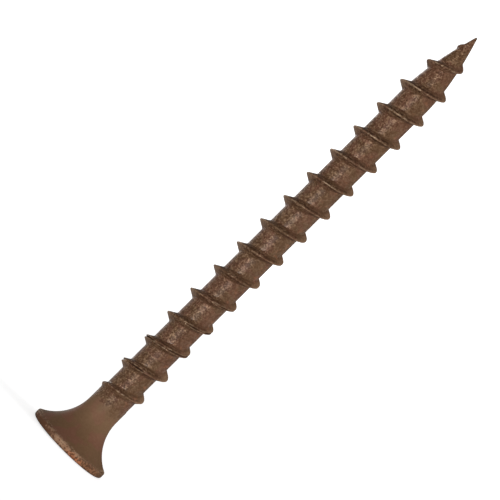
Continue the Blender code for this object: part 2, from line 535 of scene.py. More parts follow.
def ridge_shape(size, height, from_crest, sideways, patches):
    """The ridge's height over the wire at a distance from its crest, and how open its seam is."""
    run_in = eased(eased((height - size["Start Height"]) / size["Run In"]))
    run_out = eased((size["Tip Height"] - size["Bare Tip"] - height) / size["Run Out"])
    grown = run_in * run_out
    full = size["Thread Height"] * grown
    full_slope = 2 * size["Thread Height"] / (size["Base Width"] - size["Crest Width"])
    slope = full_slope * grown ** (1 - EARLY_BREADTH)
    rolled_length = height - size["Start Height"]
    steeper = 1 + RIGHT_NARROWING * sideways.sum("MAXIMUM", 0.0) * rolled_length.step(*NARROWING_START)
    past_crest = (from_crest - size["Crest Width"] / 2).sum("SMOOTH_MAX", 0.0, CREST_SOFTNESS)
    flanked = full - slope * steeper * past_crest

    short_from = SHORT_START + SHORT_SIDE_START * sideways
    short = rolled_length.step(short_from, short_from + SHORT_RAMP)
    reach = UNFILLED_LENGTH + UNFILLED_SIDE_LENGTH * sideways
    unfilled = (1 - rolled_length.step(UNFILLED_START, reach)) * grown * short
    capped = flanked.sum("SMOOTH_MIN", full - unfilled * size["Unfilled Depth"], CREST_SOFTNESS)
    open_seam = unfilled * patches.step(*SEAM_PATCHES) * grown.step(*SEAM_GROWTH)
    seam = (1 - from_crest * 2 / SEAM_WIDTH).sum("MAXIMUM", 0.0) * open_seam
    seamed = capped - seam * size["Seam Depth"]

    fade = (grown / LOWEST_RIDGE).sum("MINIMUM", 1.0)
    ridge = seamed.sum("SMOOTH_MAX", 0.0, full * ROOT_SOFTNESS) * fade
    shift = size["Off Centre"] * -1 * sideways * short + size["Unevenness"] * (patches - 0.5)
    return ridge + shift * (ridge / size["Thread Height"]), open_seam


# %% [markdown]
# The band itself is a grid of one unit each way. A point's place along it gives its station on the helix,
# and its place across it gives its distance from the crest, crowded towards the crest where the curve is
# tight. The crest also starts a little late, and stands a little higher on the left, where the second die
# was set a hair off the first. That shift has to be nothing at the start of the band, or the band would not
# meet the head.

# %% Where each point of the band stands
CREST_CROWDING = 0.72
LATE_START = 0.25 * MM
LATE_TURNS = (0.1, 0.6)
MISMATCH_RUN_IN = 1.4 * MM
ROLLED_AT_ONCE = 0.12


def band_places(tree, size, grid_place, rows):
    """What the rules need to know of each point, as wires."""
    split = tree.node("ShaderNodeSeparateXYZ", None, {0: grid_place})
    station = ((split + 0.5) * (rows - 1)).sum("ROUND")
    turn = station / size["Stations"] - 0.5
    across = split.other_output("Y")
    crowded = across - (across * math.tau).sum("SINE") * (CREST_CROWDING / math.tau)
    from_crest = crowded * size["Pitch"]
    near_crest = (across * math.tau).sum("COSINE") * 0.5 + 0.5
    late = (1 - turn.step(*LATE_TURNS)) * near_crest * LATE_START
    angle = size["Start Angle"] + turn * math.tau
    cosine, sine = angle.sum("COSINE"), angle.sum("SINE")
    rise = turn * size["Pitch"] + from_crest + late
    mismatch = size["Die Mismatch"] * (0.5 - cosine * 0.5) * rise.step(0.0, MISMATCH_RUN_IN)
    height = size["Start Height"] + (rise + mismatch).sum("MAXIMUM", 0.0)
    return SimpleNamespace(
        cosine=cosine, sine=sine, height=height.sum("MINIMUM", size["Tip Height"]), from_crest=from_crest,
        rolled_turns=turn - 0.5 + crowded.step(-ROLLED_AT_ONCE, ROLLED_AT_ONCE),
    )


# %% [markdown]
# The tree puts these together. It keeps three numbers on each point for the finish, and it has to do so on
# the flat grid: a value stored after Set Position would be worked out again from the moved points. The last
# nodes weld the band to the head and to itself, turn any instances into real points and set the material.
# The point also leans a hair to the left, as it came from the dies.

# %% The tree
UNEVEN_PATCH = 1.3 * MM
UNEVEN_DETAIL = 2.0
POINT_LEAN = 0.05 * MM
WELD_DISTANCE = 0.001 * MM


def thread_tree():
    tree, size = open_thread_tree()
    turns = (size["Tip Height"] - size["Start Height"]) / size["Pitch"] + 1
    rows = (turns * size["Stations"]).sum("CEIL") + 1
    band = tree.node("GeometryNodeMeshGrid", None, {
        "Size X": 1.0, "Size Y": 1.0, "Vertices X": rows, "Vertices Y": size["Points Across"],
    })
    at = band_places(tree, size, tree.node("GeometryNodeInputPosition"), rows)

    wire = wire_radius(size, at.height, at.rolled_turns)
    on_wire = tree.node("ShaderNodeCombineXYZ", None, {0: at.cosine * wire, 1: at.sine * wire, 2: at.height})
    patches = tree.node("ShaderNodeTexNoise", {"noise_dimensions": "4D"}, {
        "Vector": on_wire, "W": size["Seed"], "Scale": 1 / UNEVEN_PATCH, "Detail": UNEVEN_DETAIL,
    })
    ridge, open_seam = ridge_shape(size, at.height, at.from_crest.sum("ABSOLUTE"), at.cosine, patches)
    radius = wire + ridge
    lean = (1 - (size["Tip Height"] - at.height) / size["Point Length"]).sum("MAXIMUM", 0.0) ** 2 * POINT_LEAN
    place = tree.node("ShaderNodeCombineXYZ", None, {
        0: at.cosine * radius - lean, 1: at.sine * radius, 2: at.height,
    })

    kept = {"ridge": ridge / size["Thread Height"], "from_crest": at.from_crest / MM, "open_seam": open_seam}
    for name, value in kept.items():
        band = tree.node("GeometryNodeStoreNamedAttribute", {"data_type": "FLOAT", "domain": "POINT"}, {
            "Geometry": band, "Name": name, "Value": value,
        })
    wound = tree.node("GeometryNodeSetPosition", None, {"Geometry": band, "Position": place})
    joined = tree.node("GeometryNodeJoinGeometry", None, {"Geometry": wound})
    tree.feed(joined.socket.node.inputs["Geometry"], size["Head"])
    welded = tree.node("GeometryNodeMergeByDistance", None, {"Geometry": joined, "Distance": WELD_DISTANCE})
    real = tree.node("GeometryNodeRealizeInstances", None, {"Geometry": welded})
    dressed = tree.node("GeometryNodeSetMaterial", None, {"Geometry": real, "Material": size["Material"]})
    tree.node("NodeGroupOutput", None, {"Geometry": dressed})
    print(f"thread tree: {len(tree.owner.nodes)} nodes")
    return tree.owner


# %% [markdown]
# ## The floor
# A picture of a small part is taken on white paper that runs on behind it and is lit until its edge can't be
# seen. Here the paper is a plain pale sheet. Lamps strong enough to turn it white would bleach the screw
# too, so the sheet glows instead, and only for what looks at it straight on: Light Path tells a camera's ray
# from one that carries light. It glows less near the screw, where it has to show the shadow. The sheet lies
# a hair under the face of the screw, because two surfaces at one height flicker through each other.

# %% A colour between two others, a number from vectors, and the kinds of ray
BLACK = (0.0, 0.0, 0.0, 1.0)
WHITE = (1.0, 1.0, 1.0, 1.0)


def blend(tree, share, one, other):
    """One colour passing into another: 0 gives the first and 1 the second."""
    return tree.node("ShaderNodeMix", {"data_type": "RGBA"}, {0: share, 6: one, 7: other}, output=2)


def measure(tree, operation, *vectors):
    """A number worked out from vectors, such as a length or a distance."""
    return tree.node("ShaderNodeVectorMath", {"operation": operation}, dict(enumerate(vectors)), "Value")


def kinds_of_ray(tree):
    """Two wires: 1 for rays from the camera, and 1 for rays from a mirror or through glass."""
    camera = tree.node("ShaderNodeLightPath", output="Is Camera Ray")
    mirrored = camera.other_output("Is Glossy Ray")
    return camera, mirrored.sum("MAXIMUM", camera.other_output("Is Transmission Ray"))


# %% [markdown]
# Metal shows what stands round it. All white would leave a pale haze along every edge of the screw, and the
# real one has it along its left edge only, because the white paper behind it was turned that way and the
# rest of the room was dim. So one rule says which directions from the screw meet that paper, and both the
# floor and the world ask it.

# %% The backdrop and the floor
BACKDROP_SIDE = (-0.6, 0.8, 0.0)
BACKDROP_EDGE = (0.8, 0.94)
FLOOR_SIZE = 6.0
FLOOR_COLOUR = (0.6, 0.6, 0.6, 1.0)
FLOOR_DROP = 0.02 * MM
NEAR_GLOW = 0.66
FAR_GLOW = 1.0
GLOW_REACH = (60 * MM, 250 * MM)


def backdrop(tree, direction):
    """1 where a direction from the screw meets the white backdrop, and 0 where it passes it."""
    return measure(tree, "DOT_PRODUCT", direction, BACKDROP_SIDE).step(*BACKDROP_EDGE)


def floor_paper():
    material = bpy.data.materials.new("floor_paper")
    material.use_nodes = True
    surface = material.node_tree.nodes["Principled BSDF"]
    surface.inputs["Base Color"].default_value = FLOOR_COLOUR
    surface.inputs["Roughness"].default_value = 1.0
    surface.inputs["Specular IOR Level"].default_value = 0.0
    surface.inputs["Emission Strength"].default_value = 1.0

    tree = Tree(material.node_tree)
    camera, mirrored = kinds_of_ray(tree)
    place = tree.node("ShaderNodeTexCoord", output="Object")
    direction = tree.node("ShaderNodeVectorMath", {"operation": "NORMALIZE"}, {0: place})
    shown = camera.sum("MAXIMUM", mirrored * backdrop(tree, direction))
    glow = NEAR_GLOW + (FAR_GLOW - NEAR_GLOW) * measure(tree, "LENGTH", place).step(*GLOW_REACH)
    tree.feed(surface.inputs["Emission Color"], blend(tree, shown * glow, BLACK, WHITE))
    return material


def lay_floor():
    half = FLOOR_SIZE / 2
    corners = [(x, y, -FLOOR_DROP) for x, y in ((-half, -half), (half, -half), (half, half), (-half, half))]
    data = bpy.data.meshes.new("floor")
    data.from_pydata(corners, [], [(0, 1, 2, 3)])
    data.materials.append(floor_paper())
    floor = bpy.data.objects.new("floor", data)
    bpy.context.scene.collection.objects.link(floor)
    floor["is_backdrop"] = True
    return floor


print("floor:", lay_floor().name, f"{FLOOR_SIZE:.0f} m square")

# %% [markdown]
# ## The light
# The world stands for the room. It is white to the camera, and gives soft light from behind the screw, which
# is what keeps the dark side of a round thing from going black. Three soft boxes give the rest: a broad one
# in front whose light falls off towards both sides, one from the right that fills the right side out to its
# edge, and a narrow weak one from behind on the left. Each lamp's level is given as what it does to a
# surface that faces it, where 1 shows a colour as it is written, so the numbers can be added up by eye.

# %% The room
ROOM_BRIGHT_SIDE = (0.3, 0.95, 0.1)
ROOM_EDGE = (-0.2, 0.3)
ROOM_DARK = 0.01
ROOM_BRIGHT = 0.9


def room():
    world = bpy.data.worlds.new("room")
    world.use_nodes = True
    tree = Tree(world.node_tree)
    camera, mirrored = kinds_of_ray(tree)
    direction = tree.node("ShaderNodeTexCoord", output="Generated")
    bright_side = measure(tree, "DOT_PRODUCT", direction, ROOM_BRIGHT_SIDE).step(*ROOM_EDGE)
    level = ROOM_DARK + (ROOM_BRIGHT - ROOM_DARK) * bright_side
    shown = level * (1 - mirrored) + backdrop(tree, direction) * mirrored
    tree.feed(world.node_tree.nodes["Background"].inputs["Strength"], shown.sum("MAXIMUM", camera))
    world.node_tree.nodes["Background"].inputs["Color"].default_value = WHITE
    return world


bpy.context.scene.world = room()
print("world:", bpy.context.scene.world.name)

# %% [markdown]
# The boxes stand above the floor, which would cut off their lower part, and they are tall enough to light
# the whole length of the screw alike. The right-hand box isn't seen in the metal, where it would draw a
# second bright line down the thread that the real one doesn't have.

# %% The soft boxes
BOX_DISTANCE = 0.8
BOX_HEIGHT = 0.14
FRONT_DIRECTION, FRONT_WIDTH, FRONT_LEVEL = (-0.13, -1.0, 0.085), 0.5, 0.78
RIGHT_DIRECTION, RIGHT_WIDTH, RIGHT_LEVEL = (1.0, 0.16, 0.24), 0.4, 0.5
EDGE_DIRECTION, EDGE_WIDTH, EDGE_LEVEL = (-0.54, 0.84, 0.085), 0.3, 0.15


def softbox(name, direction, width, level, mirrored=True):
    """An area lamp that lights a surface facing it to the given level."""
    data = bpy.data.lights.new(name, "AREA")
    data.shape = "RECTANGLE"
    data.size = width
    data.size_y = BOX_HEIGHT
    data.energy = level * math.pi**2 * BOX_DISTANCE**2
    lamp = bpy.data.objects.new(name, data)
    away = Vector(direction).normalized()
    lamp.location = Vector((0, 0, length / 2)) + away * BOX_DISTANCE
    lamp.rotation_euler = away.to_track_quat("Z", "Y").to_euler()
    lamp.visible_camera = False
    lamp.visible_glossy = mirrored
    bpy.context.scene.collection.objects.link(lamp)
    print(f"{name}: {data.energy:.2f} W")


softbox("front_box", FRONT_DIRECTION, FRONT_WIDTH, FRONT_LEVEL)
softbox("right_box", RIGHT_DIRECTION, RIGHT_WIDTH, RIGHT_LEVEL, mirrored=False)
softbox("edge_box", EDGE_DIRECTION, EDGE_WIDTH, EDGE_LEVEL)

# %% [markdown]
# ## The finish
# Phosphate is a skin of fine crystals that grows on steel in a hot bath, and oil soaks into it afterwards.
# It is brown and almost without gloss, and it rubs off what sticks out. A picture wrapped round the screw
# could carry it, but a noise read at each point's own place in the metal needs no unwrapping and shows no
# join. So every pattern here is a noise on Object coordinates, in millimetres. What a place can't tell, the
# mesh does: the thread keeps how high its ridge is, how far its crest is and how open its seam is, and the
# head keeps what is in the recess and on its lip.
#
# Two numbers under one name are the edges of a mask, which rises from 0 at the first to 1 at the second. A
# share is how much of a colour is laid on where its mask is 1.

# %% What the finish can read at a point
GRAIN_EDGES = (0.3, 0.7)
CLOUD_SIZE = 0.9
CRYSTAL_SIZE = 0.32
CRYSTAL_DETAIL = 3.0
DOT_SIZE = 0.25
SPECK_SIZE = 0.14
CRYSTALS_IN_PATTERN = 0.75
ROLLED_FROM = (5.2, 6.2)
FLECKS_ON_HEAD = 0.08
LATER_TURNS = (26.0, 38.0)
RIDGE_FOOT = (0.05, 0.25)
SEAM_HALF_WIDTH = SEAM_WIDTH / 2 / MM
SEAM_EDGE = (0.1, 0.6)
LIT_SIDE = (1.2, 2.0)
LIT_FLANK_ON_LEFT = (0.15, -0.1)


def grain(tree, place, size, detail=2.0):
    """Patches between 0 and 1, about size across in millimetres."""
    noise = tree.node("ShaderNodeTexNoise", None, {"Vector": place, "Scale": 1 / size, "Detail": detail})
    return noise.step(*GRAIN_EDGES)


def attribute(tree, name):
    return tree.node("ShaderNodeAttribute", {"attribute_name": name}, None, "Fac")


def read_surface(tree):
    """What is known at a point of the screw, as wires: its place in millimetres, patterns, and attributes."""
    metres = tree.node("ShaderNodeTexCoord", output="Object")
    place = tree.node("ShaderNodeVectorMath", {"operation": "SCALE"}, {0: metres, "Scale": 1 / MM})
    x = tree.node("ShaderNodeSeparateXYZ", None, {0: place})
    y, z = x.other_output("Y"), x.other_output("Z")
    clouds = grain(tree, place, CLOUD_SIZE)
    crystals = grain(tree, place, CRYSTAL_SIZE, CRYSTAL_DETAIL)
    specks = grain(tree, place, SPECK_SIZE)
    rolled = (z + clouds).step(*ROLLED_FROM)
    ridge = attribute(tree, "ridge")
    across = attribute(tree, "from_crest")
    # painted light: the ridge is painted paler at the two sides of the screw, on the left only on the flank
    # that faces the head
    clean = x.step(*LIT_SIDE) + (x * -1).step(*LIT_SIDE) * across.step(*LIT_FLANK_ON_LEFT)
    open_seam = attribute(tree, "open_seam")
    seam = open_seam * (1 - across.sum("ABSOLUTE") / SEAM_HALF_WIDTH).sum("MAXIMUM", 0.0)
    return SimpleNamespace(
        place=place, x=x, y=y, z=z, radius=(x * x + y * y).sum("SQRT"),
        clouds=clouds, crystals=crystals, specks=specks, dots=grain(tree, place, DOT_SIZE),
        pattern=crystals * CRYSTALS_IN_PATTERN + specks * (1 - CRYSTALS_IN_PATTERN),
        rolled=rolled, flecked=FLECKS_ON_HEAD + (1 - FLECKS_ON_HEAD) * rolled, later=z.step(*LATER_TURNS),
        ridge=ridge, on_ridge=ridge.step(*RIDGE_FOOT),
        across=across, clean=clean, open_seam=open_seam, seam=seam.step(*SEAM_EDGE),
    )


# %% [markdown]
# ### The brown skin
# The bath leaves patches a little redder and a little more olive, about a millimetre and a half across. The
# head and shank came smooth from the press and took the skin evenly, paler towards the shank. The dies
# roughened the wire that they rolled, so there the crystals stand in dark and pale flecks.

# %% The skin
RED_BROWN = (0.162, 0.075, 0.046, 1.0)
OLIVE_BROWN = (0.145, 0.08, 0.042, 1.0)
PALE_BROWN = (0.27, 0.163, 0.095, 1.0)
DARK_BROWN = (0.09, 0.043, 0.022, 1.0)
DRIFT_SIZE = 1.5
DRIFT_EDGES = (0.3, 0.7)
PALER_SHANK = (1.5, 4.2)
PALER_SHANK_SHARE = 0.33
EVEN_DARK_SHARE = 0.12
DARK_FLECKS = (0.25, 0.45)
DARK_FLECK_SHARE = 0.5
PALE_FLECKS = (0.58, 0.75)
PALE_FLECK_SHARE = 0.3


def skin_colour(tree, at):
    drift = grain(tree, at.place, DRIFT_SIZE)
    colour = blend(tree, drift.step(*DRIFT_EDGES), RED_BROWN, OLIVE_BROWN)
    colour = blend(tree, at.z.step(*PALER_SHANK) * (1 - at.rolled) * PALER_SHANK_SHARE, colour, PALE_BROWN)
    dark = EVEN_DARK_SHARE + DARK_FLECK_SHARE * (1 - at.pattern.step(*DARK_FLECKS))
    colour = blend(tree, dark * at.flecked, colour, DARK_BROWN)
    return blend(tree, at.pattern.step(*PALE_FLECKS) * at.flecked * PALE_FLECK_SHARE, colour, PALE_BROWN)


# %% [markdown]
# The rolled wire isn't alike all round. On the left it is rough, and fine dark and pale flecks crowd over the
# larger ones; the pale ones are partly painted glints, laid where the highlight runs down the thread. On the
# right it came out smoother: most of the fine flecks are gone, broad dark and pale clouds show instead, and
# here and there a spot of rust comes through.

# %% The rough side and the smooth side
ORANGE_BROWN = (0.44, 0.165, 0.08, 1.0)
RUST_SPOT_SIZE = 0.45
RUST_SPOTS = (0.85, 1.0)
RUST_SIDE = (0.3, 1.2)
RUST_SHARE = 0.25
SMOOTH_SIDE = (0.0, 0.8)
DARK_CLOUD_SHARE = 0.22
PALE_CLOUD_SHARE = 0.14
DOTS_IN_FINE_FLECKS = 0.4
SMOOTHED_AWAY = 0.75
FINE_DARK_FLECKS = (0.2, 0.4)
FINE_PALE_FLECKS_AND_GLINTS = (0.6, 0.8)
FINE_PALE_AND_GLINT_SHARE = 0.85


def rough_and_smooth(tree, at, colour):
    rust = grain(tree, at.place, RUST_SPOT_SIZE).step(*RUST_SPOTS) * at.x.step(*RUST_SIDE) * at.rolled
    colour = blend(tree, rust * RUST_SHARE, colour, ORANGE_BROWN)
    smooth = at.x.step(*SMOOTH_SIDE) * at.rolled
    colour = blend(tree, (1 - at.clouds) * smooth * DARK_CLOUD_SHARE, colour, DARK_BROWN)
    colour = blend(tree, at.clouds * smooth * PALE_CLOUD_SHARE, colour, PALE_BROWN)
    fine = at.dots * DOTS_IN_FINE_FLECKS + at.specks * (1 - DOTS_IN_FINE_FLECKS)
    flecked = at.flecked * (1 - SMOOTHED_AWAY * smooth)
    colour = blend(tree, (1 - fine.step(*FINE_DARK_FLECKS)) * flecked, colour, DARK_BROWN)
    # pale fine flecks, partly painted glints: densest on the left, where the highlight runs down the thread
    return blend(tree, fine.step(*FINE_PALE_FLECKS_AND_GLINTS) * flecked * FINE_PALE_AND_GLINT_SHARE, colour, PALE_BROWN)


# %% [markdown]
# ### The thread's flanks
# The foot of the ridge is darkened in patches, which is painted shade where the flank meets the valley. The
# metal flowed up the flanks as it was rolled and left streaks along them, darkest on the first turns. At the
# two sides of the screw the ridge is painted paler, as painted light, and its dark streaks fade: all of it on
# the right, and on the left only the flank that faces the head.

# %% The flanks' marks
FOOT_START = (0.02, 0.12)
FOOT_END = (0.25, 0.45)
FOOT_SHADE_PATCHES = (0.35, 0.6)
FOOT_SHADE_SHARE = 0.45
STREAK_SIZE = 1.0
STREAK_STRETCH = 0.8
STREAKS_PER_MM = 9.0
EARLY_TURNS = (12.0, 30.0)
DARK_STREAKS = (0.2, 0.55)
DARK_STREAK_SHARE = 0.3
EARLY_STREAK_SHARE = 0.35
PALE_STREAKS = (0.6, 0.9)
PALE_STREAK_SHARE = 0.2
STREAKS_LIT_AWAY = 0.6
LIT_SIDE_PALE_SHARE = 0.8


def flank_marks(tree, at, colour):
    """The colour with painted shade at the feet, streaked flanks and painted light at the sides, and the
    streaks.
    """
    # painted shade: dark patches at the foot of the ridge, on both flanks
    foot = at.ridge.step(*FOOT_START) * (1 - at.ridge.step(*FOOT_END)) * at.crystals.step(*FOOT_SHADE_PATCHES)
    colour = blend(tree, foot * FOOT_SHADE_SHARE, colour, DARK_BROWN)
    along = tree.node("ShaderNodeCombineXYZ", None, {
        0: at.x * STREAK_STRETCH, 1: at.y * STREAK_STRETCH,
        2: at.z * STREAK_STRETCH + at.across * STREAKS_PER_MM,
    })
    streaks = grain(tree, along, STREAK_SIZE)
    early = 1 - at.z.step(*EARLY_TURNS)
    dark = at.on_ridge * (1 - streaks.step(*DARK_STREAKS)) * (DARK_STREAK_SHARE + EARLY_STREAK_SHARE * early)
    # the dark streaks fade, and the ridge is painted paler as painted light, at the two sides of the screw
    colour = blend(tree, dark * (1 - STREAKS_LIT_AWAY * at.clean), colour, DARK_BROWN)
    pale = (streaks.step(*PALE_STREAKS) * PALE_STREAK_SHARE).sum("MAXIMUM", at.clean * LIT_SIDE_PALE_SHARE)
    return blend(tree, at.on_ridge * pale, colour, PALE_BROWN), streaks


# %% [markdown]
# ### The thread's crest
# The crest is what touches everything else in the box, so the skin is rubbed through there in a broken line.
# Dark dash marks beside it, on the flanks just under the crest, are painted shade. The line is broader on the
# later turns, and fainter on the right. Where the dies left a seam the crest is two low lips with a groove
# between them that is painted dark as shade, and both lips are rubbed.

# %% The crest's marks
# near black: painted shade beside the crest and in the seam's groove, and the grime in the face's pits
SHADE_AND_GRIME = (0.035, 0.016, 0.009, 1.0)
RUBBED_STEEL = (0.38, 0.26, 0.17, 1.0)
SEAM_IS_OPEN = (0.1, 0.5)
LIP_OF_SEAM = 0.1
RUBBED_HEIGHT = (0.35, 0.6)
DASHES_FROM = (0.06, 0.12)
DASHES_TO = (0.2, 0.32)
DASH_GAPS = (0.45, 0.7)
DASH_SHADE_SHARE = 0.45
LATER_DASH_SHADE_SHARE = 0.2
DASHES_LIT_AWAY = 0.8
CREST_EDGE = (0.01, 0.07)
LATER_CREST_EDGE = (0.025, 0.105)
RUBBED_PATCHES = (0.3, 0.6)
LATER_RUBBED_PATCHES = (0.1, 0.3)
FAINTEST_PATCH = 0.2
RUBBED_DOTS = (0.4, 0.65)
FAINTEST_DOT = 0.1
SPARED_SIDE = (0.8, 1.9)
SPARED_TO_FRONT = 0.3
SPARED = 0.55
RUBBED_SHARE = 0.85
LATER_RUBBED_SHARE = 0.1
GROOVE_SHADE_SHARE = 0.9


def passing(share, first, second):
    """The edges of a mask as they pass from one pair of numbers to another."""
    return [one + (other - one) * share for one, other in zip(first, second)]


def crest_marks(tree, at, colour):
    """The colour with a rubbed crest, painted shade beside it and in the seam's groove, and how bare the
    crest is.
    """
    on_lips = at.open_seam.step(*SEAM_IS_OPEN)
    off_crest = (at.across.sum("ABSOLUTE") - on_lips * LIP_OF_SEAM).sum("ABSOLUTE")
    high = at.ridge.step(*RUBBED_HEIGHT)
    # painted shade: dark dash marks on the flanks beside the crest
    shade_dashes = off_crest.step(*DASHES_FROM) * (1 - off_crest.step(*DASHES_TO)) * (1 - at.dots.step(*DASH_GAPS))
    # the painted shade beside the crest fades where the sides are painted light
    shade_dashes = shade_dashes * (1 - DASHES_LIT_AWAY * at.clean) * high
    colour = blend(tree, shade_dashes * (DASH_SHADE_SHARE + LATER_DASH_SHADE_SHARE * at.later), colour, SHADE_AND_GRIME)

    patches = at.clouds.step(*passing(at.later, RUBBED_PATCHES, LATER_RUBBED_PATCHES))
    patches = FAINTEST_PATCH + (1 - FAINTEST_PATCH) * patches.sum("MAXIMUM", on_lips)
    rubs = (FAINTEST_DOT + (1 - FAINTEST_DOT) * at.dots.step(*RUBBED_DOTS)) * patches
    spared = SPARED * (at.x - at.y * SPARED_TO_FRONT).step(*SPARED_SIDE)
    on_crest = 1 - off_crest.step(*passing(at.later, CREST_EDGE, LATER_CREST_EDGE))
    worn = high * on_crest * (1 - at.seam) * rubs * (1 - spared)
    colour = blend(tree, worn * (RUBBED_SHARE + LATER_RUBBED_SHARE * at.later), colour, RUBBED_STEEL)
    # painted shade in the seam's groove
    return blend(tree, at.seam * GROOVE_SHADE_SHARE, colour, SHADE_AND_GRIME), worn


# %% [markdown]
# ### The rim
# The rim rubs against other screws and against whatever the head lies on. On the front, the side the camera
# sees, it is bare of phosphate and pale, which is wear and partly a painted reflection of the bright room:
# patchy tan metal on the left, then a band where rust has turned it orange along its lower edge, then copper
# brown, with dark remnants of the skin all over. Blotches push the borders about, so that no colour ends in a
# straight line.

# %% The bare metal of the rim
TAN = (0.35, 0.2, 0.12, 1.0)
COPPER_BROWN = (0.25, 0.118, 0.062, 1.0)
RUST_START = (-0.1, 0.7)
RUST_TOP = (0.3, 0.5)
RUST_TOP_WANDERS = 0.6
COPPER_START = (1.3, 2.1)
REMNANT_SIZE = 0.22
REMNANTS = (0.25, 0.5)
COPPER_REMNANTS = (0.35, 0.62)
REMNANT_SHARE = 0.85
DARK_PATCHES = (0.2, 0.65)
DARK_PATCH_SHARE = 0.2
PALE_PATCHES = (0.5, 0.85)
PALE_PATCH_SHARE = 0.35


def bare_and_lit_rim(tree, at, along, blotches):
    """The colour of the bare metal, partly a painted reflection, by how far to the right a point of the rim
    is.
    """
    rust = along.step(*RUST_START)
    rusty = rust * (1 - (at.z + blotches * RUST_TOP_WANDERS).step(*RUST_TOP))
    bare = blend(tree, rusty, TAN, ORANGE_BROWN)
    copper = along.step(*COPPER_START)
    bare = blend(tree, copper, bare, COPPER_BROWN)
    clear = grain(tree, at.place, REMNANT_SIZE).step(*passing(copper, REMNANTS, COPPER_REMNANTS))
    bare = blend(tree, (1 - clear) * REMNANT_SHARE, bare, DARK_BROWN)
    dark = (1 - at.crystals.step(*DARK_PATCHES)) * (1 - rust)
    bare = blend(tree, dark * DARK_PATCH_SHARE, bare, DARK_BROWN)
    pale = at.crystals.step(*PALE_PATCHES) * (1 - copper)
    return blend(tree, pale * PALE_PATCH_SHARE, bare, RUBBED_STEEL)


# %% [markdown]
# Elsewhere on the rim only patches are rubbed, and the skin is darker. The corner above it is worn in
# specks, most at the two sides.

# %% The rim's marks
RIM_EDGE = (3.6, 3.75)
RIM_TOP = (0.64, 0.7)
CLOUDS_IN_BLOTCHES = 0.4
CRYSTALS_IN_BLOTCHES = 0.3
SPECKS_IN_BLOTCHES = 0.3
RUBBED_AND_LIT_FRONT = (-2.6, -1.4)
FRONT_WANDERS = 2.0
RUBBED_LEFT_END = (-2.6, -0.8)
BORDERS_WANDER = 1.6
RIM_PATCHES = (0.1, 0.3)
RIM_PATCH_SHARE = 0.6
DARK_RIM_SHARE = 0.6
BARE_AND_LIT_RIM_SHARE = 0.9
CORNER_EDGE = (3.5, 3.7)
CORNER_BOTTOM = (0.45, 0.6)
CORNER_TOP = (0.7, 0.85)
CORNER_SPECKS = (0.4, 0.7)
CORNER_SHARE = 0.2
CORNER_SIDES = (3.2, 3.8)
CORNER_SIDE_SHARE = 0.5


def rim_marks(tree, at, colour):
    rim = at.radius.step(*RIM_EDGE) * (1 - at.z.step(*RIM_TOP))
    blotches = (
        at.clouds * CLOUDS_IN_BLOTCHES + at.crystals * CRYSTALS_IN_BLOTCHES
        + at.specks * SPECKS_IN_BLOTCHES - 0.5
    )
    along = at.x + blotches * BORDERS_WANDER
    # wear, and partly a painted reflection: the rim is bare and pale on the front, the side the camera sees
    front = 1 - (at.y + blotches * FRONT_WANDERS).step(*RUBBED_AND_LIT_FRONT)
    front = front * along.step(*RUBBED_LEFT_END)
    rubbed = rim * front.sum("MAXIMUM", blotches.step(*RIM_PATCHES) * RIM_PATCH_SHARE)
    colour = blend(tree, rim * (1 - rubbed) * DARK_RIM_SHARE, colour, DARK_BROWN)
    colour = blend(tree, rubbed * BARE_AND_LIT_RIM_SHARE, colour, bare_and_lit_rim(tree, at, along, blotches))

    corner = at.radius.step(*CORNER_EDGE) * at.z.step(*CORNER_BOTTOM) * (1 - at.z.step(*CORNER_TOP))
    share = CORNER_SHARE + CORNER_SIDE_SHARE * at.x.sum("ABSOLUTE").step(*CORNER_SIDES)
    return blend(tree, corner * at.specks.step(*CORNER_SPECKS) * share, colour, RUBBED_STEEL)


# %% [markdown]
# ### The face
# The flat face and the recess are darker than the rest, and the face has small pits and bright specks in
# groups. They are shallower than the skin's own grain, so they are drawn, not modelled.

# %% The face's skin
FACE_BROWN = (0.085, 0.056, 0.04, 1.0)
RECESS_BROWN = (0.05, 0.034, 0.025, 1.0)
FACE_TOP = (0.0, 0.06)
FACE_EDGE = (3.8, 3.95)
PITS = (0.08, 0.3)
PIT_GROUPS = (0.45, 0.75)
PIT_SHARE = 0.45
BRIGHT_SPECKS = (0.75, 0.95)
BRIGHT_GROUPS = (0.5, 0.8)
BRIGHT_SHARE = 0.3


def face_skin(tree, at, colour):
    """The colour with the face and the recess, and where the face is and how pitted it is."""
    face = (1 - at.z.step(*FACE_TOP)) * (1 - at.radius.step(*FACE_EDGE))
    colour = blend(tree, face, colour, FACE_BROWN)
    pits = face * (1 - at.specks.step(*PITS)) * at.clouds.step(*PIT_GROUPS)
    colour = blend(tree, pits * PIT_SHARE, colour, SHADE_AND_GRIME)
    sparks = face * at.specks.step(*BRIGHT_SPECKS) * at.clouds.step(*BRIGHT_GROUPS)
    colour = blend(tree, sparks * BRIGHT_SHARE, colour, RUBBED_STEEL)
    return blend(tree, attribute(tree, "recess"), colour, RECESS_BROWN), face, pits


# %% [markdown]
# The tools left marks there too: the outer half of a small ring, struck beside the recess, and a bright burr
# where the punch pulled the metal, round the end of the left wing and along the left sides of the two wings
# next to it, more faintly on one of them.

# %% The punch's marks
RING_MIDDLE = (-1.3, -1.3, 0.0)
RING_RADIUS = 0.62
RING_WIDTH = 0.08
RING_EDGE = (0.3, 1.0)
RING_CUT = 2.3
RING_CUT_EDGE = (0.2, -0.2)
RING_PATCHES = (0.4, 0.6)
RING_SHARE = 0.6
WING_END = (2.35, 2.45)
WING_SIDE = (0.2, 0.35)
WING_FROM = (0.65, 0.85)
FAINTER_WING = (-0.5, 0.5)
FAINTER_BY = 0.6
LIP_EDGE = (0.0, 0.8)
BURR_END = (2.7, 2.8)
BURR_GAPS = (0.1, 0.4)
PUNCHED_SHARE = 0.8


